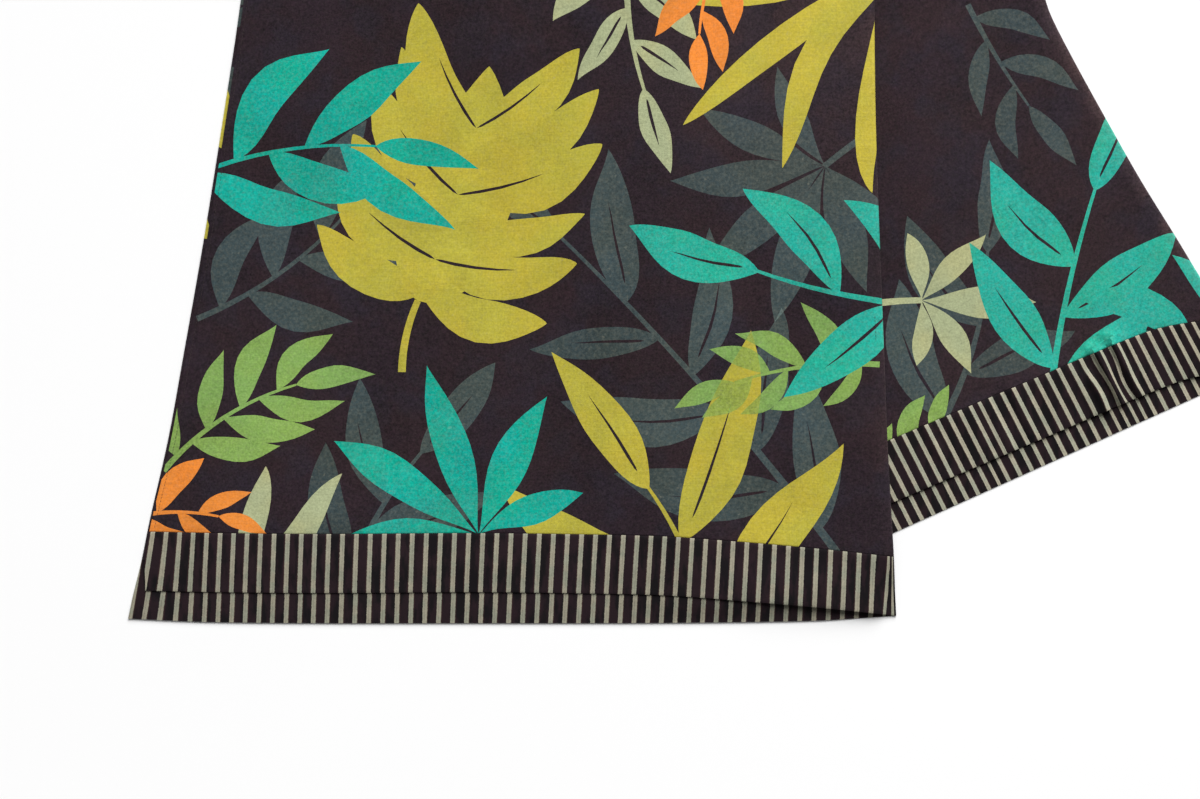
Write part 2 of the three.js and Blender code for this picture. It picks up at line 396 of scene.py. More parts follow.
# Ridges (height above 0) and troughs of the layers that lie on top, by their middle, heading in
# degrees, length, width and height.
front_creases = table(
    "x y heading length width height",
    (-0.300, -0.330, 78, 0.240, 0.034, 0.0007),
    (-0.215, -0.250, 84, 0.330, 0.045, -0.0006),
    (-0.130, -0.350, 97, 0.200, 0.030, 0.0006),
    (-0.040, -0.200, 92, 0.420, 0.052, 0.0007),
    (0.050, -0.330, 86, 0.260, 0.036, -0.0006),
    (0.095, -0.130, 94, 0.360, 0.030, 0.0005),
    (-0.250, -0.060, 68, 0.260, 0.040, 0.0007),
    (-0.110, -0.020, 12, 0.300, 0.038, -0.0004),
    (-0.200, 0.130, 80, 0.300, 0.042, -0.0006),
    (-0.060, 0.210, 88, 0.340, 0.036, 0.0008),
    (0.060, 0.180, 96, 0.280, 0.044, -0.0005),
    (-0.170, 0.320, 15, 0.260, 0.030, 0.0006),
    (0.020, 0.390, 10, 0.220, 0.026, -0.0004),
)
back_creases = table(
    "x y heading length width height",
    (0.190, -0.150, 108, 0.260, 0.030, 0.0007),
    (0.255, -0.190, 118, 0.220, 0.026, -0.0005),
    (0.300, -0.225, 122, 0.160, 0.022, 0.0006),
    (0.225, -0.290, 112, 0.090, 0.014, -0.0006),
    (0.292, -0.262, 117, 0.060, 0.009, 0.0007),
    (0.200, -0.050, 96, 0.240, 0.032, -0.0005),
    (0.345, -0.215, 126, 0.120, 0.016, -0.0005),
)

# Puckers of the back's band where its seam was drawn in, by the place at the seam, and reach
# down the band as shares of its height.
back_puckers = table(
    "x width height low high",
    (0.1490, 0.0060, 0.0006, 0.10, 0.90),
    (0.1665, 0.0044, 0.0016, 0.55, 1.00),
    (0.1720, 0.0040, -0.0014, 0.30, 0.95),
    (0.1950, 0.0060, 0.0007, 0.10, 0.80),
    (0.2100, 0.0052, 0.0012, 0.10, 0.75),
    (0.2175, 0.0058, -0.0020, 0.00, 0.90),
    (0.2270, 0.0050, 0.0010, 0.20, 0.95),
    (0.2480, 0.0060, 0.0006, 0.10, 0.90),
    (0.2700, 0.0040, 0.0012, 0.10, 0.75),
    (0.2775, 0.0036, 0.0040, -0.05, 0.50),
    (0.2835, 0.0022, -0.0034, -0.05, 0.75),
    (0.2885, 0.0030, 0.0040, 0.00, 0.95),
    (0.2955, 0.0024, -0.0030, 0.20, 0.95),
    (0.3015, 0.0032, 0.0036, 0.15, 1.05),
    (0.3100, 0.0040, 0.0008, 0.30, 1.00),
    (0.3300, 0.0070, -0.0008, 0.10, 0.90),
)
crease_core = 0.3  # share of a crease's length that has its full height
pucker_fade = 0.35  # of the band's height
deepest_pucker = -0.0004  # the under layer holds the upper one up


def crease_height(creases, x, y):
    """Height of a table's ridges and troughs at plan points."""
    total = np.zeros_like(x)
    for middle_x, middle_y, degrees, length, width, height in zip(*creases.values()):
        heading = math.radians(degrees)
        from_x, from_y = x - middle_x, y - middle_y
        along = from_x * math.cos(heading) + from_y * math.sin(heading)
        aside = from_y * math.cos(heading) - from_x * math.sin(heading)
        ends = 1 - smooth(np.abs(along), length / 2 * crease_core, length / 2)
        total += height * ends * np.exp(-((aside / width) ** 2))
    return total


band_lean = 0.452  # how far the back's stripes go sideways for each unit down the band


def back_seam_x(x, below_seam):
    """X at the seam of the stripe that passes a point of the back's band."""
    return x - band_lean * below_seam


def pucker_height(x, below_seam):
    """Height of the back band's puckers, which fade away above the seam."""
    at_seam = back_seam_x(x, below_seam)
    up_share = 1 - below_seam / band_height
    total = np.zeros_like(x)
    for middle, width, height, low, high in zip(*back_puckers.values()):
        reach = smooth(up_share, low - pucker_fade, low) * (
            1 - smooth(up_share, high, high + pucker_fade)
        )
        total += height * reach * np.exp(-(((at_seam - middle) / width) ** 2))
    return np.maximum(total, deepest_pucker)


# ---- the print: leaves and stems in flat inks ----


def srgb(red, green, blue):
    """A screen colour, 0 to 255, as the linear reflectance that a shader takes."""
    shares = np.array([red, green, blue]) / 255
    return np.where(shares <= 0.04045, shares / 12.92, ((shares + 0.055) / 1.055) ** 2.4)


# Each ink's colour, and how evenly it covers the cloth.
inks = {
    "ground": (srgb(39, 27, 33), 0.0),
    "slate": (srgb(56, 68, 69), 0.62),
    "chartreuse": (srgb(177, 165, 56), 0.9),
    "teal": (srgb(0, 158, 139), 0.62),
    "teal_with_painted_light": (srgb(28, 160, 140), 0.62),
    # The second teal is the same teal painted lighter, standing in for the stronger light on the
    # sprays towards the right.
    "leaf": (srgb(122, 156, 79), 0.68),
    "sage": (srgb(164, 168, 126), 0.82),
    "orange": (srgb(222, 130, 49), 0.9),
}
# Colours where one ink lies over another.
overprints = {
    ("slate", "slate"): srgb(84, 100, 98),
    ("leaf", "chartreuse"): srgb(140, 156, 66),
    ("chartreuse", "leaf"): srgb(152, 160, 62),
    ("leaf", "teal"): srgb(84, 158, 100),
    ("teal", "slate"): srgb(22, 155, 138),
    ("chartreuse", "teal"): srgb(108, 160, 90),
}

way_steps = 32  # in working out a line
stem_steps = 12  # in a stem's outline
slit_from = 0.12  # share of a leaf's length at which the bare line on its midrib begins
slit_reach = 0.55  # share of a leaf's length that the line takes up
slit_width = 0.0021
vein_width = 0.0022


def way(base, heading, length, bend, shares, sway=0.0):
    """Points and headings at shares of a line that turns by `bend` and sways to both sides."""
    fine = np.linspace(0, 1, way_steps + 1)
    headings = heading + bend * fine + sway * np.sin(2 * math.pi * fine)
    steps = np.stack([np.cos(headings), np.sin(headings)], axis=-1) * length / way_steps
    line = np.cumsum((steps[1:] + steps[:-1]) / 2, axis=0) + np.array(base)
    line = np.concatenate([[base], line])
    points = np.stack([np.interp(shares, fine, line[:, i]) for i in (0, 1)], axis=-1)
    return points, np.interp(shares, fine, headings)


def place_on(line, share, sway=0.0):
    """The point and the heading at one share of a line."""
    points, headings = way(*line, np.array([share]), sway)
    return points[0], float(headings[0])


def sideways(headings):
    """The way to the left of each heading."""
    return np.stack([-np.sin(headings), np.cos(headings)], axis=-1)


def swell(shares, belly, full):
    """A leaf's half-width as a share of its largest, which lies at `belly`."""
    rise, fall = full * belly, full * (1 - belly)
    return shares**rise * (1 - shares) ** fall / (belly**rise * (1 - belly) ** fall)


def leaf(base, heading, length, width, bend, draw, sway=0.0, belly=0.42, full=2.1, steps=16):
    """A leaf's outline: a swaying midrib with an uneven swell on each side, cut by hand."""
    shares = (1 - np.cos(np.linspace(0, math.pi, steps + 1))) / 2
    points, headings = way(base, heading, length, bend, shares, sway)
    sides = []
    for side in (-1, 1):
        half = width / 2 * draw.uniform(0.84, 1.16)
        half = half * swell(shares, belly + draw.uniform(-0.05, 0.05), full)
        wave = 2 * math.pi * (draw.uniform(1.0, 1.9) * shares + draw.random())
        sides.append(points + side * sideways(headings) * (half * (1 + 0.06 * np.sin(wave)))[:, None])
    return np.concatenate([sides[0], sides[1][-2:0:-1]])


def stem(base, heading, length, bend, thick, thin):
    """A tapering stem's outline, with square-cut ends."""
    shares = np.linspace(0, 1, stem_steps + 1)
    points, headings = way(base, heading, length, bend, shares)
    half = sideways(headings) * (lerp(thick, thin, shares) / 2)[:, None]
    return np.concatenate([points - half, (points + half)[::-1]])


def slit(base, heading, length, width, bend, draw, sway):
    """The bare line left along a leaf's midrib."""
    start, at = place_on((base, heading, length, bend), slit_from, sway)
    return leaf(start, at, length * slit_reach, width, bend * slit_reach, draw,
                sway=sway * 0.5, belly=0.3, full=1.3, steps=7)


# Each function below draws one spray, s, from its row. Pairs in lerp are for its first and its
# last leaf, angles are from the stem, and each draw is how unlike two leaves cut by hand are.


def frond(s, draw):
    """Slender leaves set in turn on both sides of a bent stem."""
    yield stem(*s.rib, thick=0.0042, thin=0.0016), s.ink
    for i in range(s.leaves + 1):
        share = lerp(0.12, 1.0, i / s.leaves)
        side = 0 if i == s.leaves else (-1 if i % 2 else 1)
        spot, at = place_on(s.rib, share)
        size = 0.66 + 0.42 * math.sin(math.pi * (0.12 + 0.72 * share)) + draw.uniform(-0.1, 0.1)
        heading = at + side * math.radians(lerp(62, 30, share) + draw.uniform(-8, 8))
        bend = -side * draw.uniform(0.1, 0.55) + (0 if side else s.bend * 0.5)
        yield leaf(spot, heading, s.leaf * size, s.wide * lerp(size, 1, 0.4), bend, draw,
                   sway=side * draw.uniform(0.05, 0.22), belly=0.45), s.ink


def branch(s, draw):
    """Broad leaves set one by one on a swaying stem, each with a bare midrib."""
    yield stem(*s.rib, thick=0.0060, thin=0.0022), s.ink
    for i in range(s.leaves):
        last = i == s.leaves - 1
        share = 0.98 if last else lerp(0.10, 0.88, i / (s.leaves - 1))
        side = 0 if last else (1 if i % 2 else -1)
        spot, at = place_on(s.rib, share)
        heading = at + side * math.radians(50 + draw.uniform(-12, 10))
        size = 1.04 - 0.24 * share + draw.uniform(-0.1, 0.1)
        bend = -side * draw.uniform(0.1, 0.5)
        sway = draw.uniform(-0.2, 0.2)
        midrib = (spot, heading, s.leaf * size)
        yield leaf(*midrib, s.wide * size, bend, draw, sway=sway, belly=0.44, full=1.85,
                   steps=20), s.ink
        yield slit(*midrib, slit_width, bend, draw, sway), "ground"


def fan(s, draw):
    """Leaves that spread from the end of a stalk."""
    hub, at = place_on(s.rib, 0.985)
    yield stem(*s.rib, thick=0.0052, thin=0.0042), s.ink
    for i in range(s.leaves):
        turn = lerp(-1.0, 1.0, i / (s.leaves - 1))
        heading = at + turn * math.radians(86) + draw.uniform(-0.06, 0.06)
        size = 1 - 0.34 * abs(turn) ** 1.4 + draw.uniform(-0.08, 0.08)
        yield leaf(hub, heading, s.leaf * size, s.wide * lerp(size, 1, 0.3),
                   turn * 0.45 + draw.uniform(-0.15, 0.15), draw,
                   sway=draw.uniform(-0.12, 0.12), belly=0.55, full=2.6, steps=18), s.ink


def split_leaf(s, draw):
    """One large leaf cut into pointed lobes on both sides of its rib, with bare veins."""
    stalk = (s.base, s.heading + math.pi, s.length * 0.3, 0.4)
    yield stem(*stalk, thick=0.0046, thin=0.0056), s.ink
    yield leaf(*s.rib[:3], s.wide * 0.36, s.bend, draw, belly=0.36, full=1.4, steps=18), s.ink
    for part in ("lobe", "vein"):
        for i in range(s.leaves):
            share = lerp(0.05, 0.74, (i + draw.uniform(-0.12, 0.12)) / (s.leaves - 1))
            for side in (-1, 1):
                spot, at = place_on(s.rib, max(share, 0.02))
                heading = at + side * math.radians(lerp(96, 34, share))
                reach = s.wide / 2 * (0.72 + 0.36 * math.sin(math.pi * (0.15 + 0.8 * share)))
                if part == "lobe":
                    yield leaf(spot, heading, reach * draw.uniform(0.94, 1.08), s.leaf,
                               -side * 0.45, draw, sway=side * 0.2, belly=0.46, full=1.5), s.ink
                elif i % 2:
                    yield leaf(spot, heading, reach * 0.6, vein_width, -side * 0.3, draw,
                               belly=0.3, full=1.2, steps=6), "ground"


def blades(s, draw):
    """Long narrow leaves that rise from one foot and arch over."""
    for i in range(s.leaves):
        turn = lerp(-1, 1, (i + 0.5) / s.leaves)
        heading = s.heading + turn * 0.66 + draw.uniform(-0.08, 0.08)
        size = 1 - 0.38 * abs(turn) + draw.uniform(-0.16, 0.12)
        yield leaf(s.base, heading, s.length * size, s.wide, turn * 0.9 + s.bend, draw,
                   sway=draw.uniform(-0.25, 0.25), belly=0.55, full=1.9, steps=16), s.ink


# One spray to a row: where its foot lies, its heading and bend in degrees, its length, the number
# of its leaves, and the length and width of the largest. A split leaf gives the width of its lobes
# and its own. Later rows lie over earlier ones.
spray_columns = "kind ink x y heading length bend leaves leaf wide".split()
front_sprays = [
    (branch, "slate", 0.108, -0.412, 126, 0.320, 10, 8, 0.118, 0.033),
    (frond, "slate", -0.356, -0.235, 22, 0.150, 30, 6, 0.086, 0.024),
    (fan, "slate", 0.152, -0.086, 208, 0.072, 12, 7, 0.118, 0.026),
    (branch, "slate", -0.262, -0.462, 76, 0.150, -26, 5, 0.104, 0.032),
    (split_leaf, "chartreuse", -0.198, -0.222, 66, 0.176, 14, 6, 0.031, 0.196),
    (branch, "chartreuse", 0.010, -0.470, 96, 0.125, 30, 4, 0.168, 0.042),
    (blades, "chartreuse", 0.152, 0.024, 208, 0.226, 12, 5, 0, 0.021),
    (frond, "leaf", -0.380, -0.344, 50, 0.115, -34, 7, 0.060, 0.017),
    (frond, "leaf", 0.132, -0.268, 176, 0.105, 22, 7, 0.050, 0.014),
    (fan, "teal", -0.108, -0.482, 112, 0.105, 10, 6, 0.124, 0.027),
    (frond, "teal", -0.396, -0.150, 30, 0.175, -34, 6, 0.098, 0.026),
    (branch, "teal_with_painted_light", 0.205, -0.226, 182, 0.165, -22, 4, 0.118, 0.035),
    (branch, "sage", -0.046, 0.046, 262, 0.120, 26, 5, 0.074, 0.023),
    (blades, "sage", -0.322, -0.436, 50, 0.122, -30, 4, 0, 0.021),
    (frond, "orange", -0.424, -0.384, 22, 0.085, -34, 5, 0.046, 0.014),
    (frond, "orange", 0.034, 0.058, 236, 0.095, 30, 5, 0.046, 0.014),
    (branch, "slate", -0.306, 0.030, 62, 0.230, 24, 7, 0.108, 0.031),
    (frond, "teal", -0.060, 0.118, 148, 0.170, -26, 7, 0.092, 0.025),
    (branch, "chartreuse", -0.318, 0.205, 4, 0.150, 26, 5, 0.130, 0.038),
    (frond, "leaf", 0.134, 0.200, 196, 0.120, -28, 7, 0.058, 0.016),
    (fan, "slate", -0.040, 0.470, 262, 0.090, 18, 7, 0.116, 0.025),
    (blades, "sage", 0.150, 0.300, 178, 0.120, 20, 4, 0, 0.018),
    (branch, "teal", -0.186, 0.452, 282, 0.150, 24, 5, 0.108, 0.032),
    (split_leaf, "chartreuse", 0.096, 0.368, 232, 0.150, -14, 6, 0.027, 0.160),
    (frond, "orange", -0.286, 0.352, 12, 0.100, -30, 6, 0.046, 0.014),
]
back_sprays = [
    (branch, "slate", 0.150, -0.350, 50, 0.180, 40, 5, 0.100, 0.032),
    (fan, "sage", 0.118, -0.226, 10, 0.046, -10, 5, 0.078, 0.021),
    (branch, "teal_with_painted_light", 0.252, -0.326, 86, 0.190, -14, 5, 0.112, 0.036),
    (frond, "slate", 0.196, -0.010, 296, 0.085, 10, 4, 0.058, 0.016),
    (frond, "teal_with_painted_light", 0.420, -0.262, 160, 0.080, 24, 4, 0.084, 0.026),
    (frond, "leaf", 0.132, -0.356, 38, 0.056, 22, 4, 0.044, 0.014),
    (split_leaf, "chartreuse", 0.130, 0.130, 100, 0.150, 14, 6, 0.028, 0.150),
    (frond, "teal_with_painted_light", 0.100, 0.330, 300, 0.200, 20, 8, 0.086, 0.024),
]
# The front's sprays again on each under layer, moved by a repeat of the print.
front_repeat = (0.604, 0.280)
back_repeat = (0.904, -0.05)


def leaves_of(sprays, moved=(0.0, 0.0), seed=1):
    """All outlines of a list of sprays, in the order of printing: outline, ink and spray."""
    for number, row in enumerate(sprays):
        s = SimpleNamespace(**dict(zip(spray_columns, row)))
        s.base = (s.x + moved[0], s.y + moved[1])
        s.heading, s.bend = math.radians(s.heading), math.radians(s.bend)
        s.rib = (s.base, s.heading, s.length, s.bend)
        spray = 100 * seed + number
        for outline, ink in s.kind(s, random.Random(spray)):
            yield outline, ink, spray


# ---- making the sheets ----

beside_fold = 0.014  # width of the finer stretch beside the lengthwise fold
beside_step = 0.0022
turn_step = 0.00047  # between places round the fold
close_stations = 0.0016  # closer stations than this mark a turn or a hem
cut_within = 4e-6  # points of the cut that lie closer than this are one
hem_step = 0.0005  # run over which the narrow hem's edge steps down
sharp_edge = math.radians(50)
# The colour that wear and painted sheen lighten the print towards.
wear_and_sheen_colour = srgb(106, 87, 88)
fold_wear_and_sheen_run = (0.001, 0.016)  # from the fold: how far its wear and painted sheen are full, and how far they reach
line_wear_and_highlight = 0.34  # wear and a painted highlight on the very line of the lengthwise fold
line_wear_and_highlight_run = (0.0007, 0.0022)
tint_seed = 7
spread = 0.025  # how unlike the leaves of one ink are
slate_spread = 0.08


def new_piece(name, places, faces):
    """An object whose mesh has these points and faces."""
    mesh = bpy.data.meshes.new(name)
    mesh.from_pydata([tuple(p) for p in places], [], faces)
    piece = bpy.data.objects.new(name, mesh)
    bpy.context.scene.collection.objects.link(piece)
    return piece


def laid(face, relief, u, v):
    """Places on a sheet's face with its relief, their distance in from the free edge, and how
    much each lies on top."""
    places, from_free, on_top = face(u, v)
    places[:, 2] += on_top * relief(places[:, 0], places[:, 1], from_free, v)
    return places, from_free, on_top


def stations(*runs):
    """Places along one way: each run is its end and about how far apart the places lie."""
    places = [runs[0][0]]
    for end, step in runs[1:]:
        start = places[-1]
        count = max(1, round((end - start) / step))
        places += [start + (end - start) * i / count for i in range(1, count + 1)]
    return np.array(places)


def across_stations(upper_step, under_step):
    """Places across the opened cloth, close together at the fold and at the free edges."""
    ins = [0, 0.0022, narrow_hem - 0.0007, narrow_hem + 0.0010, 0.012]
    steps = [0.0011, 0.0007, 0.0004, 0.0023]
    runs = [(at - open_half, step) for at, step in zip(ins, [0] + steps)]
    runs += [(-beside_fold, upper_step), (-half_turn, beside_step), (half_turn, turn_step)]
    runs += [(beside_fold, beside_step)]
    runs += [(open_half - at, step) for at, step in zip(ins[::-1], [under_step] + steps[::-1])]
    return stations(*runs)


def wall_inwards(piece, thickness, thick_share=None):
    """Gives a sheet its thickness behind the outer face; thick_share varies it by vertex."""
    wall = piece.modifiers.new("wall", "SOLIDIFY")
    wall.thickness = thickness
    wall.offset = -1
    if thick_share is not None:
        group = piece.vertex_groups.new(name="thickness")
        for share in np.unique(np.round(thick_share, 2)):
            members = np.flatnonzero(np.round(thick_share, 2) == share)
            group.add([int(i) for i in members], float(share), "REPLACE")
        wall.vertex_group = "thickness"
        wall.thickness_vertex_group = 0.0
    bpy.context.view_layer.objects.active = piece
    bpy.ops.object.modifier_apply(modifier=wall.name)


def finish_sheet(piece, material, node):
    """Gives a sheet its cloth, smooths its shading, joins it to the root body and hides the imported
    part named by node.
    """
    piece.data.materials.append(material)
    bpy.ops.object.select_all(action="DESELECT")
    piece.select_set(True)
    bpy.context.view_layer.objects.active = piece
    bpy.ops.object.shade_smooth_by_angle(angle=sharp_edge)
    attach(piece, "root")
    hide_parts(node)


def close_ones(places):
    """Numbers of the stations that stand close to a neighbour."""
    close = np.flatnonzero(np.diff(places) < close_stations)
    return sorted({int(i) + end for i in close for end in (0, 1)})


def net_lines(columns, rows, start):
    """Lines of the flat net that every leaf's outline is cut at, where the cloth turns."""
    down = len(rows)
    for c in close_ones(columns):
        yield from ((start + c * down + r, start + c * down + r + 1) for r in range(down - 1))
    for r in close_ones(rows):
        yield from ((start + c * down + r, start + (c + 1) * down + r)
                    for c in range(len(columns) - 1))


def printed_sheet(name, face, onto, sprays, columns, rows, relief, painted_sheen, fold_wear_and_sheen):
    """A stretch of printed cloth: its leaves are cut into one flat net, which is then laid."""
    low, high = np.array([columns[0], rows[0]]), np.array([columns[-1], rows[-1]])
    flat = [Vector(low), Vector((high[0], low[1])), Vector(high), Vector((low[0], high[1]))]
    loops = [[0, 1, 2, 3]]
    prints = [("ground", 0)]
    for outline, ink, spray in sprays:
        opened_outline = onto(outline)
        if (opened_outline.max(0) < low).any() or (opened_outline.min(0) > high).any():
            continue
        loops.append(list(range(len(flat), len(flat) + len(opened_outline))))
        flat += [Vector(p) for p in opened_outline]
        prints.append((ink, spray))
    lines = list(net_lines(columns, rows, len(flat)))
    flat += [Vector((u, v)) for u in columns for v in rows]
    net, _, triangles, _, _, origins = delaunay_2d_cdt(flat, lines, loops, 1, cut_within, True)
    kept = [(t, o) for t, o in zip(triangles, origins) if 0 in o]
    used = sorted({i for t, _ in kept for i in t})
    renumbered = {old: new for new, old in enumerate(used)}
    u, v = np.array([net[i] for i in used]).T
    places, from_free, on_top = laid(face, relief, u, v)
    faces = [[renumbered[i] for i in t] for t, _ in kept]
    piece = new_piece(name, places, faces)
    patchy = 0.55 + 0.30 * np.sin(v * 47 + 1) + 0.15 * np.sin(v * 171)
    # Wear with painted sheen along the fold, wear with a painted highlight on its very line, and
    # painted sheen on the layer on top.
    wear_and_sheen = fold_wear_and_sheen * (1 - smooth(np.abs(u), *fold_wear_and_sheen_run))
    wear_and_sheen = wear_and_sheen + line_wear_and_highlight * patchy * (1 - smooth(np.abs(u), *line_wear_and_highlight_run))
    wear_and_sheen = wear_and_sheen + on_top * painted_sheen(places[:, 0], places[:, 1])
    paint(piece, faces, [o for _, o in kept], prints, wear_and_sheen)
    flat_map(piece, u, v)
    at_free = 1 - smooth(from_free, narrow_hem, narrow_hem + hem_step)
    wall_inwards(piece, hem_thickness, lerp(cloth_thickness / hem_thickness, 1.0, at_free))
    return piece


def paint(piece, faces, origins, prints, wear_and_sheen):
    """Puts each triangle's topmost ink on its corners, lightened by wear and painted sheen; the
    fourth channel is how evenly the ink covers."""
    tints = random.Random(tint_seed)
    tint = [1 + tints.gauss(0, slate_spread if ink == "slate" else spread) for ink, _ in prints]
    values = np.ones((len(faces), 3, 4))
    for i, layers in enumerate(origins):
        stack = sorted(layers)
        top, spray = prints[stack[-1]]
        below = [ink for ink, other in (prints[n] for n in stack[:-1]) if other != spray]
        colour, even = inks[top]
        colour = overprints.get((top, below[-1] if below else "ground"), colour)
        values[i, :, :3] = colour * tint[stack[-1]]
        values[i, :, 3] = even
    # Wear and painted sheen lighten the ink towards one colour.
    wear_and_sheen_share = wear_and_sheen[np.array(faces)][..., None]
    values[..., :3] = lerp(values[..., :3], np.maximum(wear_and_sheen_colour, values[..., :3]), wear_and_sheen_share)
    ink_layer = piece.data.color_attributes.new("ink", "FLOAT_COLOR", "CORNER")
    ink_layer.data.foreach_set("color", values.astype(np.float32).ravel())


def flat_map(piece, u, v):
    """A UV map that holds the opened cloth's own measures."""
    layer = piece.data.uv_layers.new(name="cloth")
    corners = np.zeros(len(piece.data.loops), np.int32)
    piece.data.loops.foreach_get("vertex_index", corners)
    places = np.stack([u[corners], v[corners]], axis=-1)
    layer.data.foreach_set("uv", places.astype(np.float32).ravel())


def striped_band(name, face, columns, rows, count_at, relief):
    """An end band on a plain grid, with its stripes counted across in its UV map."""
    u, v = (a.ravel() for a in np.meshgrid(columns, rows))
    width = len(columns)
    places = laid(face, relief, u, v)[0]
    faces = [
        (r * width + c, r * width + c + 1, (r + 1) * width + c + 1, (r + 1) * width + c)
        for r in range(len(rows) - 1)
        for c in range(width - 1)
    ]
    piece = new_piece(name, places, faces)
    flat_map(piece, count_at(places[:, 0], u, v), v)
    wall_inwards(piece, band_thickness)
    return piece


# ---- how each sheet lies ----

edge_round = 0.0007  # run over which a seam's or a hem's edge turns down
seam_dip = 0.0004
hem_dip = 0.0002
hem_rise = 0.00025  # the narrow hem stands proud by this much
hem_inner = narrow_hem - 0.0004  # where its height begins to step down
sewn_in = 0.0009  # the hem's sewing, in from its inner edge
hem_groove = (0.00022, 0.0005)  # depth and width of what the sewing draws in
band_groove = (0.00018, 0.0006)
sewing_below_seam = 0.0015
crease_start = (0.002, 0.030)  # in from the free edge, where the front's creases begin
top_fade = (open_length - 0.06, open_length - 0.01)  # where relief ends below the top fold
band_proud = 0.0002
hem_droop = 0.0010  # the front's upper hem comes down onto the under layer
hem_droop_up = 0.020  # height above the hem that the droop reaches
hem_droop_end = (0.08, 0.13)  # X over which it ends
hem_lift = 0.0034  # the front's upper hem stands off the under layer near the fold
hem_lift_up = 0.036  # height above the hem that the lift reaches
hem_lift_start = (-0.020, 0.122)  # X over which it grows
hem_lift_end = (0.127, 0.1435)  # X over which it ends
ripple = 0.00016  # soft waves of the front band
ripple_lengths = (0.031, 0.083)  # of the two waves that make them
ripple_up = (0.012, 0.040)  # heights above the hem over which they grow
back_droop_up = 0.016
back_droop_end = (0.33, 0.39)
front_sheen = 0.085  # how far painted sheen takes the front towards the colour of wear and sheen
front_sheen_x = (-0.10, 0.09)
front_sheen_y = (-0.24, 0.0)
# Painted sheen on the back, away from the front's fold.
back_sheen = 0.028
back_sheen_run = (0.010, 0.070)  # from the front's fold, over which the painted sheen grows; beside the fold the back is left darker, as painted shade


def groove(aside, depth, width):
    """What a row of sewing draws in, by the distance from it."""
    return -depth * np.exp(-((aside / width) ** 2))


def free_edge_relief(from_free):
    """The upper layer comes down at its free edge, with a raised narrow hem along it."""
    droop = -free_edge_droop * (1 - smooth(from_free, 0, droop_run))
    hem = hem_rise * (1 - smooth(from_free, hem_inner, narrow_hem + hem_step))
    return droop + hem + groove(from_free - narrow_hem + sewn_in, *hem_groove)


def seam_edge(from_seam):
    """Cloth is drawn down at the band's seam, on both sides of it."""
    return -seam_dip * (1 - smooth(from_seam, 0, edge_round))


def below_top(v):
    """1 on the stretch, fading to 0 towards the turn over the top."""
    return 1 - smooth(v, *top_fade)


def front_cloth_relief(x, y, from_free, v):
    """How far the upper layer stands above its sheet's plain face, as in each relief below."""
    creases = crease_height(front_creases, x, y) * smooth(from_free, *crease_start)
    return below_top(v) * (free_edge_relief(from_free) + seam_edge(v) + creases)


def back_cloth_relief(x, y, from_free, v):
    creases = crease_height(back_creases, x, y) + pucker_height(x, -v)
    return below_top(v) * (seam_edge(v) + creases)


def front_painted_sheen(x, y):
    """Painted sheen on the front, strongest beside its fold, towards the top."""
    return front_sheen * smooth(x, *front_sheen_x) * smooth(y, *front_sheen_y)


def back_painted_sheen(x, y):
    """Painted sheen on the back, which fades out beside the front's fold and leaves the cloth there
    darker, as painted shade.
    """
    return back_sheen * smooth(x - read(front_edges, "fold", y - front_hem_y), *back_sheen_run)


def band_edges(v):
    """A band's seam edge and its hem turn down over a short run; a groove marks the sewing."""
    hem = -hem_dip * (1 - smooth(v, 0, edge_round))
    below_seam = band_height - v
    return seam_edge(below_seam) + hem + groove(below_seam - sewing_below_seam, *band_groove)


def front_band_relief(x, y, from_free, v):
    lying = 1 - smooth(x, *hem_droop_end)
    hem_down = hem_droop * lying * (1 - smooth(v, 0, hem_droop_up))
    edge_down = free_edge_droop * (1 - smooth(from_free, 0, droop_run))
    first, second = (np.sin(x * 2 * math.pi / length) for length in ripple_lengths)
    lifted = smooth(x, *hem_lift_start) * (1 - smooth(x, *hem_lift_end))
    lift = hem_lift * lifted * (1 - smooth(v, 0, hem_lift_up))
    return (
        band_proud + band_edges(v) - np.maximum(hem_down, edge_down) + lift
        + ripple * first * second * smooth(v, *ripple_up) + crease_height(front_creases, x, y)
    )


def back_band_relief(x, y, from_free, v):
    droop = -hem_dip * (1 - smooth(v, 0, back_droop_up)) * (1 - smooth(x, *back_droop_end))
    return (
        band_proud + band_edges(v) + droop
        + pucker_height(x, band_height - v) + crease_height(back_creases, x, y)
    )


# ---- sewing ----

stitch_pitch = 0.0025
stitch_length = 0.0019
stitch_width = 0.00036
stitch_height = 0.00030
hem_sewing = narrow_hem - sewn_in  # in from a free edge
band_sewing_ends = 0.0015  # the band's sewing stops this far short of its free edges
hem_sewing_v = (0.003, open_length - 0.004)  # where the hems' sewing starts and ends
nudge = 0.0001  # for telling which way a sheet faces


def sewing_places(start, end):
    """Where the stitches of a row begin, and its end."""
    return np.linspace(start, end, round(abs(end - start) / stitch_pitch) + 1)


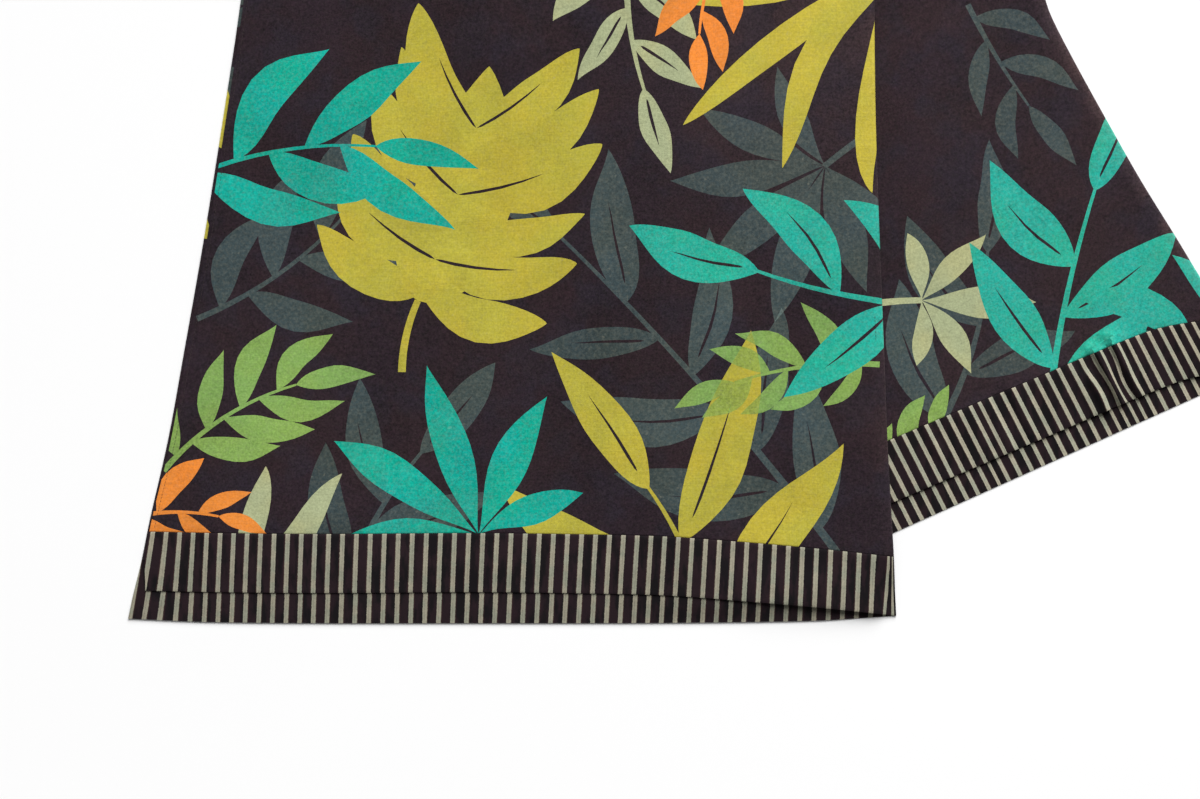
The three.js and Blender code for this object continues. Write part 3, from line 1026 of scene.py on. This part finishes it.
def stitches(name, *rows):
    """Rows of sewing. A row is a sheet's face and relief, and the line (u, v) it is sewn along."""
    bpy.ops.mesh.primitive_uv_sphere_add(segments=6, ring_count=4, radius=0.5)
    bead = bpy.context.object
    points = np.array([v.co for v in bead.data.vertices])
    sides = [tuple(f.vertices) for f in bead.data.polygons]
    # They come in no fixed order, so each starts at its lowest corner, and all are sorted.
    sides = sorted(side[side.index(min(side)):] + side[: side.index(min(side))] for side in sides)
    bpy.data.objects.remove(bead)
    places, faces = [], []
    for face, relief, u, v in rows:
        spots, across, onward = (
            laid(face, relief, *place)[0] for place in ((u, v), (u + nudge, v), (u, v + nudge))
        )
        out = np.cross(across - spots, onward - spots)[:-1]
        along = np.diff(spots, axis=0)
        for spot, way_on, up in zip(spots, along, out):
            way_on, up = Vector(way_on).normalized(), Vector(up).normalized()
            middle = Vector(spot) + way_on * stitch_length / 2
            aside = up.cross(way_on)
            start = len(places)
            places += [middle + way_on * z * stitch_length + aside * x * stitch_width
                       + up * y * stitch_height for x, y, z in points]
            faces += [tuple(start + i for i in side) for side in sides]
    piece = new_piece(name, places, faces)
    piece.data.materials.append(thread)
    for polygon in piece.data.polygons:
        polygon.use_smooth = True
    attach(piece, "root")
    return piece


def free_edge_rows(face, relief):
    """Sewing along the narrow hems of both layers' free edges."""
    v = sewing_places(*hem_sewing_v)
    for side in (-1, 1):
        yield face, relief, np.full(len(v), side * (open_half - hem_sewing)), v


def band_row(face, relief):
    """Sewing that holds a band down, below its seam, and round the lengthwise fold."""
    u = sewing_places(-open_half + band_sewing_ends, open_half - band_sewing_ends)
    return face, relief, u, np.full(len(u), band_height - sewing_below_seam)


# ---- stripes ----

# Stripes of the front band: which stripe lies at a place along the seam, and how far it leans.
front_stripes = table(
    "x count",
    (-0.4062, -1.9),
    (-0.3876, 0.0),
    (-0.2712, 12.0),
    (-0.2014, 19.0),
    (-0.0600, 33.0),
    (0.0582, 45.0),
    (0.1290, 52.0),
    (0.1403, 53.0),
    (0.1425, 54.0),
)
front_lean = table(
    "x lean",
    (-0.400, 0.160),
    (-0.390, 0.150),
    (-0.380, 0.108),
    (-0.370, 0.077),
    (-0.360, 0.062),
    (-0.350, 0.050),
    (-0.280, 0.038),
    (-0.200, 0.036),
    (-0.120, 0.050),
    (-0.040, 0.060),
    (0.020, 0.056),
    (0.125, 0.040),
    (0.1373, 0.071),
    (0.1432, -0.017),
)
fold_count = 54.5  # the front band's fold lies between two stripes
# Stripes of the back band, drawn together where it puckers.
back_stripes = table(
    "x count",
    (0.0372, -20.1),
    (0.1413, -7.15),
    (0.1987, 0.0),
    (0.2049, 1.0),
    (0.2214, 3.0),
    (0.2776, 10.0),
    (0.2855, 11.0),
    (0.2982, 13.0),
    (0.3105, 15.0),
    (0.3262, 17.0),
    (0.4056, 26.9),
)
back_fold_count = 27.0
back_under_shift = 0.35  # the under layer's stripes lie this much of a period further on

# The upper layer's stripes are drawn together most at one place of the back band.
pinch_middle = 0.2890  # X at the seam
pinch_reach = 0.0100
pinch_pull = 0.0026
pinch_up = 0.30  # share of the band's height at which they are closest
pinch_fade = 0.55
# How far from each fold the stripes are fitted to it.
front_turn_run = 0.0018
back_turn_run = 0.006


def front_count(x, u, v):
    """The stripe at each place of the front band: a whole number on the middle of a light one."""
    below = band_height - v
    at_seam = x + read(front_lean, "lean", x) * below
    flat = read(front_stripes, "count", at_seam)
    turn_share = np.clip(1 - np.abs(u) / front_turn_run, 0, 1)
    upper = lerp(np.minimum(flat, fold_count), fold_count, turn_share)
    return np.where(u > 0, 2 * fold_count - upper, upper)


def back_count(x, u, v):
    """The stripe at each place of the back band, told as front_count tells the front's."""
    at_seam = back_seam_x(x, band_height - v)
    from_middle = (at_seam - pinch_middle) / pinch_reach
    low = (1 - smooth(np.abs(v / band_height - pinch_up), 0.0, pinch_fade)) * (u < 0)
    at_seam = at_seam + pinch_pull * low * from_middle * np.exp(-(from_middle**2)) * 2
    count = read(back_stripes, "count", at_seam)
    turn_share = np.clip(1 - np.abs(u) / back_turn_run, 0, 1)
    under = 2 * back_fold_count - count + back_under_shift * (1 - turn_share)
    return np.where(u > 0, under, count)


# ---- finishes ----


class Value:
    """A shader's value; Python's operators on it add the Math nodes that work it out."""

    def __init__(self, finish, socket):
        self.finish = finish
        self.socket = socket

    def maths(self, operation, *others):
        inputs = dict(enumerate((self, *others)))
        return self.finish.node("ShaderNodeMath", {"operation": operation}, inputs)

    def __add__(self, other):
        return self.maths("ADD", other)

    def __mul__(self, other):
        return self.maths("MULTIPLY", other)

    def __sub__(self, other):
        return self.maths("SUBTRACT", other)

    def __rsub__(self, other):
        return self.maths("MULTIPLY", -1).maths("ADD", other)

    def __truediv__(self, other):
        return self.maths("DIVIDE", other)

    def __gt__(self, other):
        return self.maths("GREATER_THAN", other)

    __radd__ = __add__
    __rmul__ = __mul__

    def fraction(self):
        return self.maths("FRACT")

    def size(self):
        """The value without its sign."""
        return self.maths("ABSOLUTE")

    def swing(self, amount):
        """A noise about 0.5 as one about 0, times an amount."""
        return (self - 0.5) * amount

    def ramp(self, low, high):
        """0 at low, 1 at high, smooth between."""
        return self.finish.node(
            "ShaderNodeMapRange",
            {"interpolation_type": "SMOOTHSTEP"},
            {"Value": self, "From Min": low, "From Max": high},
        )

    def beside(self, output):
        """Another output of the node that this value comes from."""
        return Value(self.finish, self.socket.node.outputs[output])


class Finish:
    """A material in the making."""

    def __init__(self, name):
        self.material = bpy.data.materials.new(name)
        self.material.use_nodes = True
        self.tree = self.material.node_tree
        self.tree.nodes.clear()
        self.solid = self.node("ShaderNodeTexCoord", output=3)

    def node(self, kind, settings=None, inputs=None, output=0):
        """Adds a node, with its settings first and then its inputs, and gives one output."""
        made = self.tree.nodes.new(kind)
        for name, value in (settings or {}).items():
            setattr(made, name, value)
        for name, value in (inputs or {}).items():
            if isinstance(value, Value):
                self.tree.links.new(value.socket, made.inputs[name])
            else:
                made.inputs[name].default_value = value
        return Value(self, made.outputs[output]) if made.outputs else None

    def mix(self, share, first, second):
        """One colour turned into another by a share."""
        colours = {
            0: share,
            6: first if isinstance(first, Value) else (*first, 1),
            7: second if isinstance(second, Value) else (*second, 1),
        }
        return self.node("ShaderNodeMix", {"data_type": "RGBA"}, colours, output=2)

    def scaled(self, colour, share):
        """A colour made lighter or darker by a share."""
        return self.node("ShaderNodeVectorMath", {"operation": "SCALE"},
                         {0: colour, "Scale": share})

    def noise(self, size, detail=2.0, rough=0.5, stretch=(1, 1, 1), place=None):
        """Noise about 0.5, with grains of about that size in metres."""
        moved = self.node(
            "ShaderNodeMapping",
            inputs={"Vector": place or self.solid, "Scale": tuple(s / size for s in stretch)},
        )
        return self.node("ShaderNodeTexNoise", {"noise_dimensions": "3D"},
                         {"Vector": moved, "Scale": 1.0, "Detail": detail, "Roughness": rough})

    def as_cloth(self, colour, roughness, height, depth, sheen):
        """Joins it all in one shader; the height is in units of the depth, in metres."""
        bump = self.node("ShaderNodeBump",
                         inputs={"Strength": 1.0, "Distance": depth, "Height": height})
        return self.shaded({
            "Base Color": colour,
            "Roughness": roughness,
            "Normal": bump,
            "Specular IOR Level": cotton_gloss,
            "Sheen Weight": sheen,
            "Sheen Roughness": 0.5,
        })

    def shaded(self, inputs):
        """Makes the shader, with its inputs, the material's whole surface."""
        shader = self.node("ShaderNodeBsdfPrincipled", inputs=inputs)
        self.node("ShaderNodeOutputMaterial", inputs={"Surface": shader})
        return self.material


cotton_gloss = 0.12
cotton_sheen = 0.03
thread_pitch = 0.00042  # between two threads of the plain weave
slub_size = 0.0009  # width of a thick place in a thread


def weave(finish, place):
    """Threads of a plain weave, from 0 between threads to 1 on top of one."""
    across = finish.node("ShaderNodeSeparateXYZ", inputs={0: place})
    warp = ((across / thread_pitch).fraction() - 0.5).size()
    weft = ((across.beside(1) / thread_pitch).fraction() - 0.5).size()
    return 1 - warp - weft


bare_cotton = srgb(176, 172, 150)
blue_black = srgb(36, 31, 40)
cool_tinge = (0.955, 1.0, 1.06)
warm_tinge = (1.045, 1.0, 0.93)


def printed_cotton():
    """Flat inks, each as uneven as it covers: grainy where it lies thin, with bare flecks."""
    finish = Finish("printed_cotton")
    place = finish.node("ShaderNodeUVMap", {"uv_map": "cloth"})
    ink = finish.node("ShaderNodeVertexColor", {"layer_name": "ink"})
    even = ink.beside("Alpha")
    threads = weave(finish, place)
    grain = finish.noise(0.0015, detail=3, rough=0.65)
    mottle = finish.noise(0.0032, detail=4, rough=0.6)
    blotch = finish.noise(0.030, detail=3, rough=0.55)
    wash = finish.noise(0.110, detail=2)
    slub = finish.noise(slub_size, detail=1, stretch=(0.035, 1, 1), place=place)
    warp_slub = finish.noise(slub_size, detail=1, stretch=(1, 0.03, 1), place=place)
    shade = (
        1
        + grain.swing(2.40 - even * 1.80)
        + mottle.swing(1.25 - even * 1.07)
        + blotch.swing(0.62 - even * 0.28)
        + wash.swing(0.60 - even * 0.25)
        + slub.swing(0.26)
        + warp_slub.swing(0.16)
        + threads.swing(0.10)
    )
    starved = finish.noise(0.0026, detail=4, rough=0.7).ramp(0.40, 0.72) * 0.10
    fleck = finish.noise(0.0038, detail=1).ramp(0.72, 0.80) * 0.12
    scuff = finish.noise(0.0016, detail=2, stretch=(1, 0.12, 1)).ramp(0.74, 0.84) * 0.14
    bare = (starved + fleck + scuff) * (0.12 + even * (1 - even * 0.75) * 2.6)
    bluish = finish.noise(0.034, detail=3, rough=0.6).ramp(0.46, 0.62)
    dyed = finish.mix(bluish * (1 - even.ramp(0.1, 0.5)) * 0.5, ink, blue_black)
    tinge = finish.noise(0.050, detail=3, rough=0.6).ramp(0.36, 0.64)
    tinged = finish.node("ShaderNodeVectorMath", {"operation": "MULTIPLY"},
                         {0: dyed, 1: finish.mix(tinge, cool_tinge, warm_tinge)})
    colour = finish.mix(bare, finish.scaled(tinged, shade), bare_cotton)
    height = threads * 0.6 + grain * 0.5 + slub * 0.3 + warp_slub * 0.2
    return finish.as_cloth(colour, 0.78 + mottle.swing(0.2), height, 0.00010, cotton_sheen)


light_stripe = srgb(150, 145, 127)
light_stripe_green = srgb(140, 141, 124)
black_stripe = srgb(17, 13, 16)
maroon_stripe = srgb(36, 23, 28)
red_edging = srgb(70, 44, 42)
stripe_edge = (0.146, 0.180)  # from a light stripe's middle to its edge, as shares of a pair


def striped_cotton(name, pale, deep, under, turn_count):
    """The bands' cloth: how light its pale and its deep stripes are, and how much light painted shade
    leaves on its under layer.
    """
    finish = Finish(name)
    place = finish.node("ShaderNodeUVMap", {"uv_map": "cloth"})
    count = finish.node("ShaderNodeSeparateXYZ", inputs={0: place})
    edge = finish.noise(0.0016, detail=3, rough=0.6)
    inside = (count + 0.5 + edge.swing(0.08)).fraction() - 0.5
    light = 1 - inside.size().ramp(*stripe_edge)
    tone = finish.noise(0.013, detail=3, rough=0.6)
    dyed = finish.mix(tone.ramp(0.42, 0.60), light_stripe * pale, light_stripe_green * pale)
    centre = 1 - (inside - 0.03).size().ramp(0.012, 0.04)
    dye = finish.noise(0.0085, detail=4, rough=0.62, stretch=(1, 0.30, 1))
    dark = finish.mix(dye.ramp(0.40, 0.58), black_stripe * deep, maroon_stripe * deep)
    red_edge = 1 - (inside + 0.205).size().ramp(0.008, 0.034)
    dark = finish.mix(red_edge * 0.55, dark, red_edging)
    grain = finish.noise(0.0010, detail=3, rough=0.65)
    mottle = finish.noise(0.005, detail=3, rough=0.6)
    shade = (
        1
        + grain.swing(0.70)
        + mottle.swing(0.45)
        - centre * light * (edge * 0.36)
        # painted shade: the under layer is darker where the layer above covers it
        - (count > turn_count) * (1 - under)
    )
    colour = finish.scaled(finish.mix(light, dark, dyed), shade)
    height = grain * 0.6 + light * 0.5 - centre * light * 0.3
    return finish.as_cloth(colour, 0.80 + mottle.swing(0.2), height, 0.00012, cotton_sheen)


dark_thread = srgb(38, 31, 33)
light_thread = srgb(66, 56, 54)


def sewing_thread():
    """Dark thread, lighter where its twist catches the light."""
    finish = Finish("sewing_thread")
    twist = finish.noise(0.0004, detail=2, stretch=(1, 2.5, 1))
    colour = finish.mix(twist.ramp(0.35, 0.65), dark_thread, light_thread)
    return finish.as_cloth(colour, 0.7 + twist.swing(0.2), twist, 0.00006, 0.05)


# ---- the pieces ----

cotton = printed_cotton()
# The front band's under layer is painted darker, as shade from the layer above it.
front_stripes_cloth = striped_cotton(
    "striped_cotton", pale=1.0, deep=0.9, under=0.88, turn_count=fold_count
)
# The back band's pale stripes are painted lighter and its deep stripes darker than the front band's:
# painted light and shade for how light falls on the back.
back_stripes_cloth = striped_cotton(
    "striped_cotton_painted_light", pale=1.20, deep=0.7, under=1.0, turn_count=back_fold_count
)
thread = sewing_thread()

# Where the rows of each sheet's net lie, and how far apart.
seam_rows = [(0, 0), (edge_round * 1.4, 0.0004)]
cloth_rows = stations(
    *seam_rows, (0.010, 0.0042), (open_length, 0.009), (open_length + top_turn, 0.0009)
)
# Each printed sheet carries painted sheen, and wear with painted sheen along its fold.
front_cloth = printed_sheet(
    "front_cloth", front_cloth_face, onto_front,
    [*leaves_of(front_sprays, front_repeat, seed=2), *leaves_of(front_sprays)],
    across_stations(0.009, 0.016), cloth_rows, front_cloth_relief, front_painted_sheen, fold_wear_and_sheen=0.06,
)
finish_sheet(front_cloth, cotton, "front_stretch")

back_rows = stations(
    *seam_rows, (0.012, 0.003), (0.06, 0.006), (0.5, 0.009), (open_length, 0.018)
)
back_cloth = printed_sheet(
    "back_cloth", back_cloth_face, onto_back,
    [*leaves_of(front_sprays, back_repeat, seed=4), *leaves_of(back_sprays)],
    across_stations(0.007, 0.016), back_rows, back_cloth_relief, back_painted_sheen, fold_wear_and_sheen=0.20,
)
finish_sheet(back_cloth, cotton, "back_stretch")

band_rows = stations(
    (0, 0), (edge_round, 0.00028), (0.006, 0.0016), (0.034, 0.0035),
    (band_height - 0.0052, 0.0016), (band_height - 0.0022, 0.0006),
    (band_height - edge_round, 0.0011), (band_height, 0.00028),
)
front_band = striped_band(
    "front_band", front_band_face, across_stations(0.0025, 0.005), band_rows,
    front_count, front_band_relief,
)
finish_sheet(front_band, front_stripes_cloth, "front_end_band")
back_band = striped_band(
    "back_band", back_band_face, across_stations(0.0012, 0.005), band_rows,
    back_count, back_band_relief,
)
finish_sheet(back_band, back_stripes_cloth, "back_end_band")

front_hem_sewing = stitches(
    "front_hem_sewing", *free_edge_rows(front_cloth_face, front_cloth_relief)
)
back_hem_sewing = stitches(
    "back_hem_sewing", *free_edge_rows(back_cloth_face, back_cloth_relief)
)
front_band_sewing = stitches("front_band_sewing", band_row(front_band_face, front_band_relief))
back_band_sewing = stitches("back_band_sewing", band_row(back_band_face, back_band_relief))

mend_u = -0.0075  # beside the lengthwise fold
mend_v = sewing_places(0.1480, 0.1655)
mend = stitches(
    "mend", (front_cloth_face, front_cloth_relief, np.full(len(mend_v), mend_u), mend_v)
)

# ---- surface, light and camera ----

view_centre = (-0.0669, -0.2929)
view_width = 0.8616
camera_height = 2.2
sensor = 36.0  # millimetres
surface_size = 30
surface_shades = ((0.885, 0.885, 0.885), (0.895, 0.895, 0.895))
sky = 0.22
window = 4.64
window_spread = math.radians(50)
window_way = (0.20, 0.80, 0.60)  # from the cloth towards the light
card_light = 0.85  # watts thrown back by a white card, at the back's fold
card_place = (0.45, 0.30, 0.45)
card_way = (0.30, 0.40, 0.45)
card_size = 0.5


def white_surface():
    bpy.ops.mesh.primitive_plane_add(size=surface_size, location=(0, 0, 0))
    floor = bpy.context.object
    floor.name = "floor"
    finish = Finish("white_surface")
    colour = finish.mix(finish.noise(0.4, detail=2), *surface_shades)
    floor.data.materials.append(finish.shaded(
        {"Base Color": colour, "Roughness": 0.9, "Specular IOR Level": 0.0}
    ))


def set_up(name, data, place, towards=None):
    """Puts a lamp or a camera in its place; a lamp shines from the way that it stands towards."""
    thing = bpy.data.objects.new(name, data)
    thing.location = place
    if towards:
        thing.rotation_euler = Vector(towards).to_track_quat("Z", "Y").to_euler()
    bpy.context.scene.collection.objects.link(thing)
    return thing


def soft_light():
    world = bpy.data.worlds.new("studio")
    bpy.context.scene.world = world
    world.use_nodes = True
    world.node_tree.nodes["Background"].inputs["Color"].default_value = (1, 1, 1, 1)
    world.node_tree.nodes["Background"].inputs["Strength"].default_value = sky
    key = bpy.data.lights.new("window", "SUN")
    key.energy = window
    key.angle = window_spread
    set_up("window", key, (0, 0, 0), window_way)
    card = bpy.data.lights.new("white_card", "AREA")
    card.energy = card_light
    card.size = card_size
    set_up("white_card", card, card_place, card_way).visible_camera = False


def camera_above():
    data = bpy.data.cameras.new("camera")
    data.sensor_width = sensor
    data.lens = sensor * camera_height / view_width
    data.clip_start, data.clip_end = 0.1, 50
    bpy.context.scene.camera = set_up("camera", data, (*view_centre, camera_height))


white_surface()
soft_light()
camera_above()
bpy.context.scene.view_settings.view_transform = "Standard"
